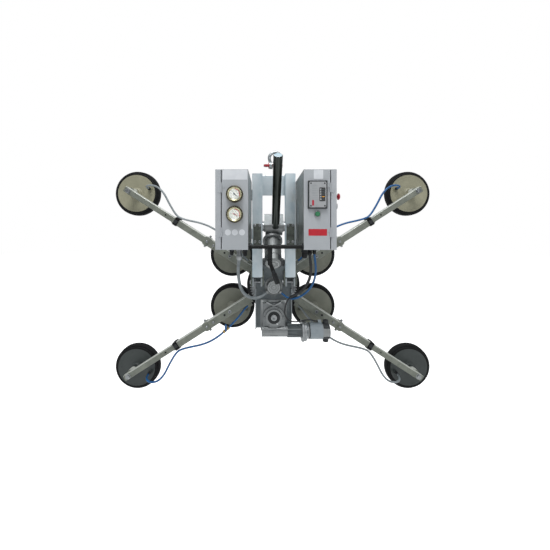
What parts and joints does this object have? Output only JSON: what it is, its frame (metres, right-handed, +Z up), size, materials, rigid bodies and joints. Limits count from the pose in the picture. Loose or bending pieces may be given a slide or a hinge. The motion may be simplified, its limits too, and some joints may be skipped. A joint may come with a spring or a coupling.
{
  "type": "vacuum glass panel lifter",
  "caption": "Vacuum lifter for glass panels: suction pads on a turning telescopic cross, tilting frame with two equipment boxes, hung from a shackle.",
  "frame": {"origin": "seat of the crane hook, inside the top of the shackle's bow", "axes": "+Z up, +Y away from the operator, towards the glass, +X to the operator's right"},
  "size_m": [2.1348, 0.602, 1.4862],
  "materials": {
    "dark_steel": "dark oiled steel",
    "cast_aluminium": "cast",
    "galvanised_steel": "galvanised",
    "red_pin": "red paint",
    "zinc_plated_steel": "zinc plated",
    "grey_paint": "satin powder coat",
    "gauge": "polished",
    "black_plastic": "moulded",
    "green_button": "gloss",
    "red_plastic": "gloss",
    "black_paint": "satin black",
    "pad_paint": "matt",
    "rubber": "matt",
    "tube_steel": "zinc plated, dulled",
    "grey_hose": "smooth",
    "black_hose": "satin"
  },
  "bodies": {
    "lifting_arm": {"lifting_pole": "dark_steel", "tilt_gearbox": "cast_aluminium", "tilt_motor_flange": "dark_steel", "tilt_motor": "cast_aluminium"},
    "shackle": {"shackle_bow": "galvanised_steel", "shackle_pin": "red_pin"},
    "frame": {"rails": "zinc_plated_steel", "clevis_brackets": "zinc_plated_steel", "tilt_shaft": "dark_steel", "cross_beam": "zinc_plated_steel", "carrier_plate": "zinc_plated_steel", "bearing_inner_ring": "dark_steel", "rotary_union": "cast_aluminium", "slewing_gearbox": "cast_aluminium", "slewing_motor": "cast_aluminium", "box_shell_left": "grey_paint", "box_shell_right": "grey_paint", "door_hinges": "galvanised_steel", "box_fittings": "galvanised_steel", "vacuum_pump": "cast_aluminium", "vacuum_tank": "grey_paint", "battery": "black_plastic", "control_unit": "black_plastic", "handle_bar": "black_paint", "frame_bolts": "galvanised_steel", "vacuum_hose": "grey_hose", "conduit_and_cable": "black_hose"},
    "door_left": {"door_left": "grey_paint", "vacuum_gauges": "gauge"},
    "door_right": {"door_right": "grey_paint", "control_panel": "black_plastic"},
    "start_button": {"start_button": "green_button"},
    "stop_knob": {"stop_knob": "red_plastic"},
    "swing_lever": {"swing_lever": "black_paint"},
    "rotor": {"slewing_ring": "dark_steel", "hub_front_plate": "zinc_plated_steel", "hub_back_plate": "zinc_plated_steel", "manifold": "cast_aluminium", "arm_clamp_bolts": "galvanised_steel", "hose_straps": "rubber", "inner_pad_plates": "pad_paint", "inner_pad_seals": "rubber", "arm_hoses": "grey_hose", "arm_socket_upper_right": "tube_steel", "arm_socket_upper_left": "tube_steel", "arm_socket_lower_left": "tube_steel", "arm_socket_lower_right": "tube_steel"},
    "pinion": {"slewing_pinion": "dark_steel"},
    "arm_upper_right": {"arm_upper_right": "tube_steel"},
    "pad_upper_right": {"pad_plate_upper_right": "pad_paint", "pad_seal_upper_right": "rubber"},
    "arm_upper_left": {"arm_upper_left": "tube_steel"},
    "pad_upper_left": {"pad_plate_upper_left": "pad_paint", "pad_seal_upper_left": "rubber"},
    "arm_lower_left": {"arm_lower_left": "tube_steel"},
    "pad_lower_left": {"pad_plate_lower_left": "pad_paint", "pad_seal_lower_left": "rubber"},
    "arm_lower_right": {"arm_lower_right": "tube_steel"},
    "pad_lower_right": {"pad_plate_lower_right": "pad_paint", "pad_seal_lower_right": "rubber"}
  },
  "joints": [
    {"name": "tilt", "type": "hinge", "parent": "lifting_arm", "child": "frame", "pos_m": [0, 0.20846, -0.37152], "axis": [1, 0, 0], "range_deg": [-30, 42]},
    {"name": "shackle_swing", "type": "hinge", "parent": "lifting_arm", "child": "shackle", "pos_m": [0, 0, -0.06], "axis": [1, 0, 0], "range_deg": [-60, 60]},
    {"name": "slewing", "type": "hinge", "parent": "frame", "child": "rotor", "pos_m": [0, 0.26746, -0.73352], "axis": [0, 1, 0], "continuous": true},
    {"name": "pinion_spin", "type": "hinge", "parent": "frame", "child": "pinion", "pos_m": [0, 0.26746, -0.90352], "axis": [0, 1, 0], "continuous": true},
    {"name": "door_left_swing", "type": "hinge", "parent": "frame", "child": "door_left", "pos_m": [-0.259, -0.11674, -0.29352], "axis": [0, 0, -1], "range_deg": [0, 110]},
    {"name": "door_right_swing", "type": "hinge", "parent": "frame", "child": "door_right", "pos_m": [0.259, -0.11674, -0.29352], "axis": [0, 0, 1], "range_deg": [0, 110]},
    {"name": "start_press", "type": "slide", "parent": "door_right", "child": "start_button", "axis": [0, 1, 0], "range_m": [0, 0.004], "stiffness_N_per_m": 500},
    {"name": "stop_press", "type": "slide", "parent": "frame", "child": "stop_knob", "axis": [-1, 0, 0], "range_m": [0, 0.005], "stiffness_N_per_m": 600},
    {"name": "lever_swing", "type": "hinge", "parent": "frame", "child": "swing_lever", "pos_m": [-0.028, -0.10754, -0.54752], "axis": [0, 1, 0], "range_deg": [-25, 25]},
    {"name": "extend_upper_right", "type": "slide", "parent": "rotor", "child": "arm_upper_right", "axis": [0.8425, 0, 0.5388], "range_m": [-0.22, 0.08], "deforming": ["arm_hoses"]},
    {"name": "swivel_upper_right", "type": "hinge", "parent": "arm_upper_right", "child": "pad_upper_right", "pos_m": [0.91743, 0.36046, -0.1468], "axis": [-0.9542, 0, 0.299], "range_deg": [-5, 5]},
    {"name": "extend_upper_left", "type": "slide", "parent": "rotor", "child": "arm_upper_left", "axis": [-0.8425, 0, 0.5388], "range_m": [-0.22, 0.08], "deforming": ["arm_hoses"]},
    {"name": "swivel_upper_left", "type": "hinge", "parent": "arm_upper_left", "child": "pad_upper_left", "pos_m": [-0.91743, 0.36046, -0.1468], "axis": [0.9542, 0, 0.299], "range_deg": [-5, 5]},
    {"name": "extend_lower_left", "type": "slide", "parent": "rotor", "child": "arm_lower_left", "axis": [-0.8425, 0, -0.5388], "range_m": [-0.22, 0.08], "deforming": ["arm_hoses"]},
    {"name": "swivel_lower_left", "type": "hinge", "parent": "arm_lower_left", "child": "pad_lower_left", "pos_m": [-0.91743, 0.36046, -1.32024], "axis": [0.9542, 0, -0.299], "range_deg": [-5, 5]},
    {"name": "extend_lower_right", "type": "slide", "parent": "rotor", "child": "arm_lower_right", "axis": [0.8425, 0, -0.5388], "range_m": [-0.22, 0.08], "deforming": ["arm_hoses"]},
    {"name": "swivel_lower_right", "type": "hinge", "parent": "arm_lower_right", "child": "pad_lower_right", "pos_m": [0.91743, 0.36046, -1.32024], "axis": [-0.9542, 0, -0.299], "range_deg": [-5, 5]}
  ],
  "couplings": [
    {"joint": "pinion_spin", "follows": "slewing", "ratio": -4.6667}
  ]
}
